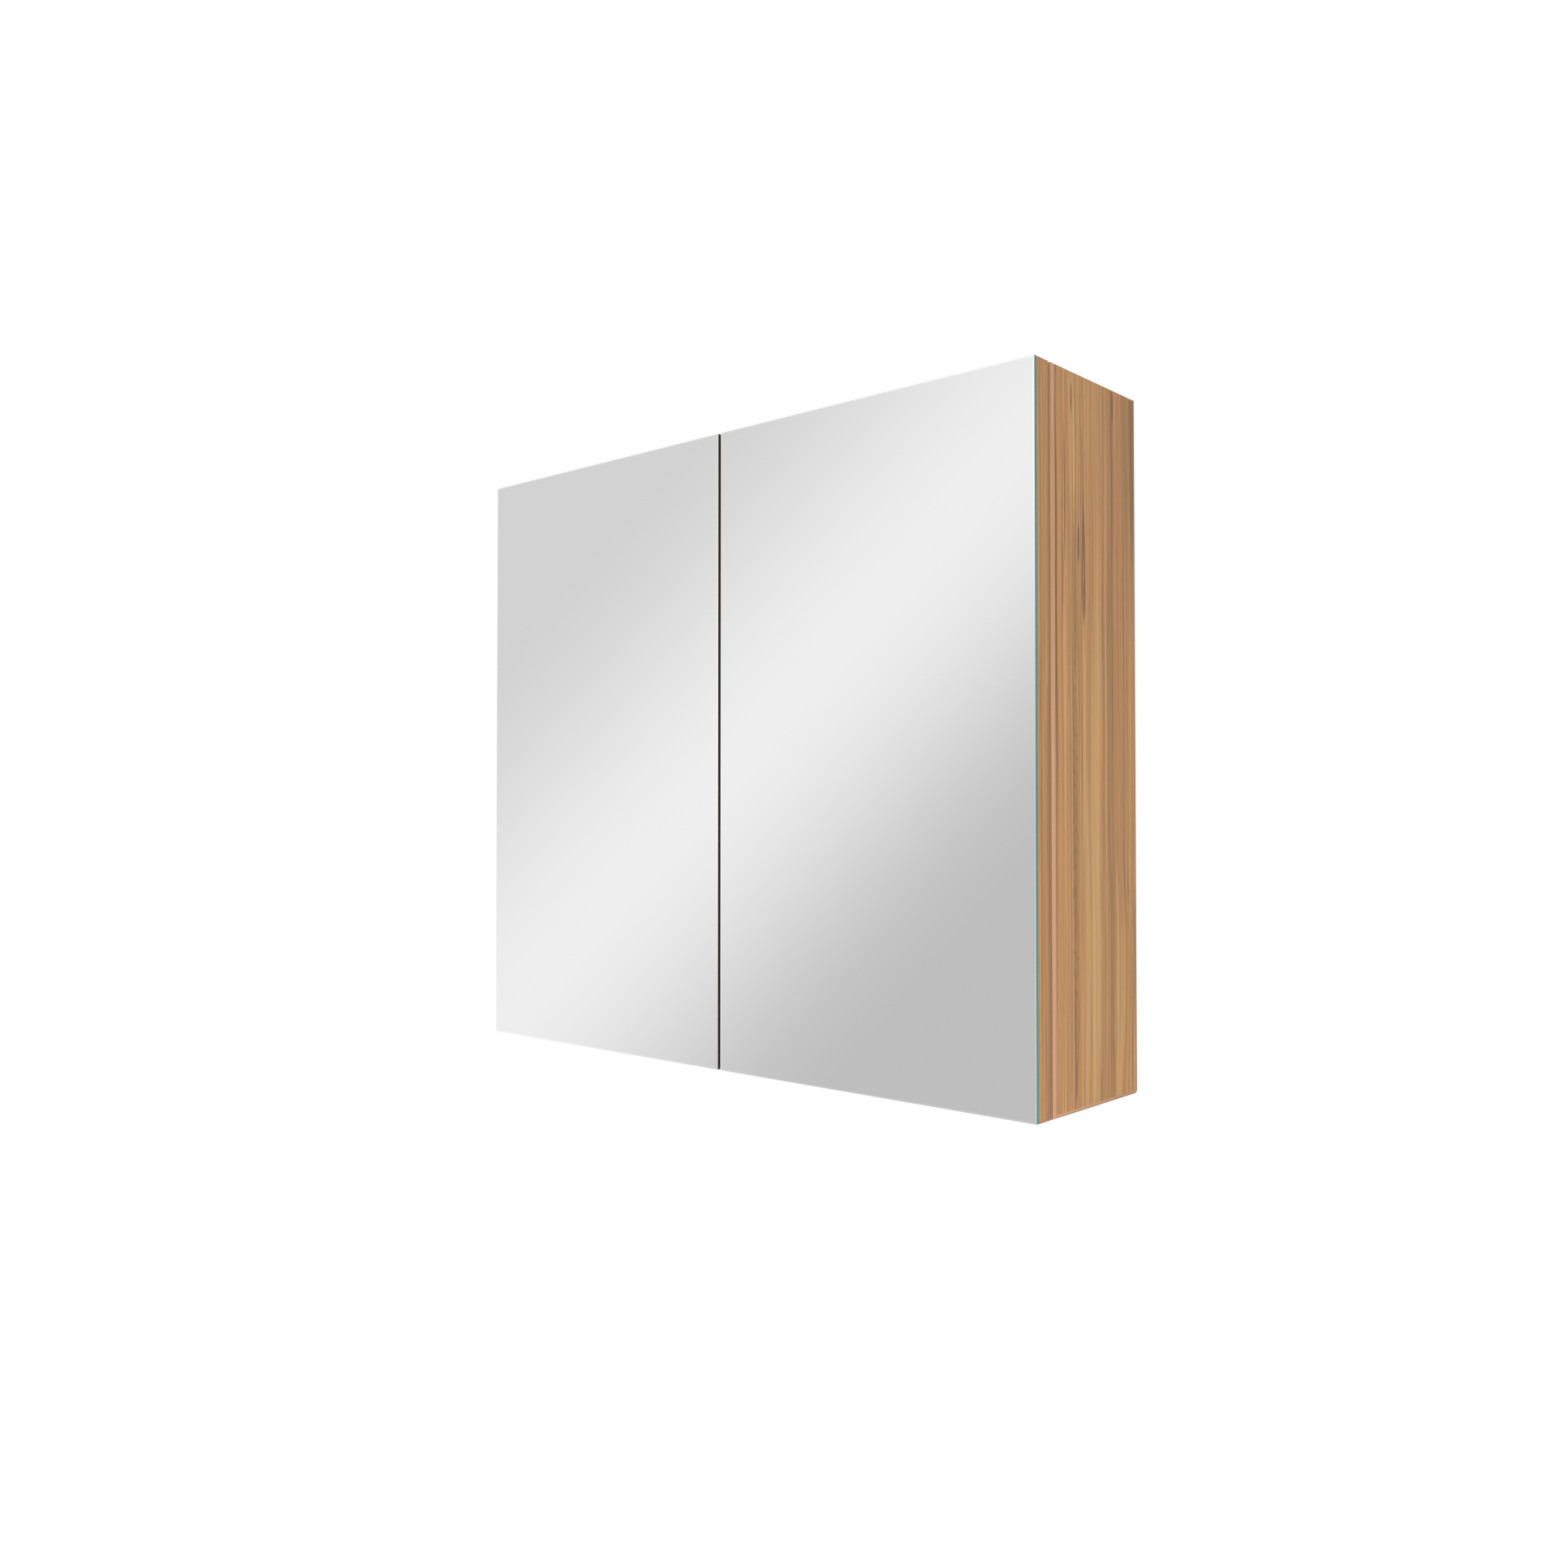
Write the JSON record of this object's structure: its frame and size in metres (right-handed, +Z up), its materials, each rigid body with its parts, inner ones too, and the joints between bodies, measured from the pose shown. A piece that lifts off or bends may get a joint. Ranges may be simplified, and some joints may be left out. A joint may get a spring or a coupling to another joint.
{
  "type": "mirror cabinet",
  "caption": "Wall-hung bathroom mirror cabinet with full-overlay mirror doors on concealed hinges, glass shelves inside and adjustable hangers.",
  "frame": {"origin": "middle of the four wall screws, on the wall plane", "axes": "+X to the right of someone facing the mirrors, +Y into the wall, +Z up"},
  "size_m": [0.8, 0.192, 0.7],
  "materials": {
    "mirror_pane": "silvered glass, polished edges",
    "adhesive": "matt adhesive",
    "door_board": "fine vertical wood decor, satin",
    "door_band": "fine vertical wood decor, satin",
    "side_decor": "fine vertical wood decor, satin",
    "inside_decor": "wood decor, satin",
    "lipping": "pale lipping, satin",
    "thin_band": "pale edge band, satin",
    "back_board": "thin decor board, satin",
    "beech_dowel": "plain beech",
    "shelf_glass": "clear glass, ground edges",
    "pin_steel": "zinc plated",
    "clear_sleeve": "translucent soft plastic",
    "hanger_plastic": "matt plastic",
    "zinc_steel": "zinc plated steel",
    "hinge_nickel": "nickel plated steel",
    "screw_steel": "zinc plated steel",
    "bumper_rubber": "clear soft plastic"
  },
  "bodies": {
    "carcass": {"back_panel": "back_board", "bottom_panel": "inside_decor", "carcass_edge_bands": "thin_band", "corner_dowels": "beech_dowel", "hanger_covers": "hanger_plastic", "hanger_screws": "screw_steel", "hinge_arm_pins": "screw_steel", "hinge_arm_screws": "screw_steel", "hinge_plate_screws": "screw_steel", "left_front_lipping": "lipping", "left_hanger_hook": "zinc_steel", "left_hanger_housing": "hanger_plastic", "left_lower_hinge_arm": "hinge_nickel", "left_lower_hinge_plate": "hinge_nickel", "left_side_panel": "side_decor", "left_upper_hinge_arm": "hinge_nickel", "left_upper_hinge_plate": "hinge_nickel", "left_wall_plate": "zinc_steel", "lower_shelf": "shelf_glass", "right_front_lipping": "lipping", "right_hanger_hook": "zinc_steel", "right_hanger_housing": "hanger_plastic", "right_lower_hinge_arm": "hinge_nickel", "right_lower_hinge_plate": "hinge_nickel", "right_side_panel": "side_decor", "right_upper_hinge_arm": "hinge_nickel", "right_upper_hinge_plate": "hinge_nickel", "right_wall_plate": "zinc_steel", "shelf_pin_sleeves": "clear_sleeve", "shelf_pins": "pin_steel", "top_panel": "inside_decor", "upper_shelf": "shelf_glass"},
    "right_outer_links": {"right_upper_outer_link": "hinge_nickel", "right_lower_outer_link": "hinge_nickel"},
    "right_inner_links": {"right_upper_inner_link": "hinge_nickel", "right_lower_inner_link": "hinge_nickel"},
    "right_door": {"right_door_board": "door_board", "right_mirror_bond": "adhesive", "right_mirror": "mirror_pane", "right_door_edge_bands": "door_band", "right_upper_hinge_cup": "hinge_nickel", "right_lower_hinge_cup": "hinge_nickel", "right_cup_pins": "screw_steel", "right_cup_screws": "screw_steel", "right_door_bumpers": "bumper_rubber"},
    "left_outer_links": {"left_upper_outer_link": "hinge_nickel", "left_lower_outer_link": "hinge_nickel"},
    "left_inner_links": {"left_upper_inner_link": "hinge_nickel", "left_lower_inner_link": "hinge_nickel"},
    "left_door": {"left_door_board": "door_board", "left_mirror_bond": "adhesive", "left_mirror": "mirror_pane", "left_door_edge_bands": "door_band", "left_upper_hinge_cup": "hinge_nickel", "left_lower_hinge_cup": "hinge_nickel", "left_cup_pins": "screw_steel", "left_cup_screws": "screw_steel", "left_door_bumpers": "bumper_rubber"}
  },
  "joints": [
    {"name": "right_door_swing", "type": "hinge", "parent": "right_outer_links", "child": "right_door", "pos_m": [0.38756, -0.17441, 0], "axis": [0, 0, 1], "range_deg": [0, 132]},
    {"name": "right_outer_link_swing", "type": "hinge", "parent": "carcass", "child": "right_outer_links", "pos_m": [0.36623, -0.16497, 0], "axis": [0, 0, 1], "range_deg": [-36.5, 0.5]},
    {"name": "right_inner_link_swing", "type": "hinge", "parent": "carcass", "child": "right_inner_links", "pos_m": [0.35895, -0.16154, 0], "axis": [0, 0, 1], "range_deg": [-44.47, 0.5]},
    {"name": "left_door_swing", "type": "hinge", "parent": "left_outer_links", "child": "left_door", "pos_m": [-0.38756, -0.17441, 0], "axis": [0, 0, -1], "range_deg": [0, 132]},
    {"name": "left_outer_link_swing", "type": "hinge", "parent": "carcass", "child": "left_outer_links", "pos_m": [-0.36623, -0.16497, 0], "axis": [0, 0, -1], "range_deg": [-36.5, 0.5]},
    {"name": "left_inner_link_swing", "type": "hinge", "parent": "carcass", "child": "left_inner_links", "pos_m": [-0.35895, -0.16154, 0], "axis": [0, 0, -1], "range_deg": [-44.47, 0.5]}
  ],
  "couplings": [
    {"joint": "right_outer_link_swing", "follows": "right_door_swing", "ratio": -0.27273},
    {"joint": "right_inner_link_swing", "follows": "right_door_swing", "ratio": -0.33309},
    {"joint": "left_outer_link_swing", "follows": "left_door_swing", "ratio": -0.27273},
    {"joint": "left_inner_link_swing", "follows": "left_door_swing", "ratio": -0.33309}
  ]
}
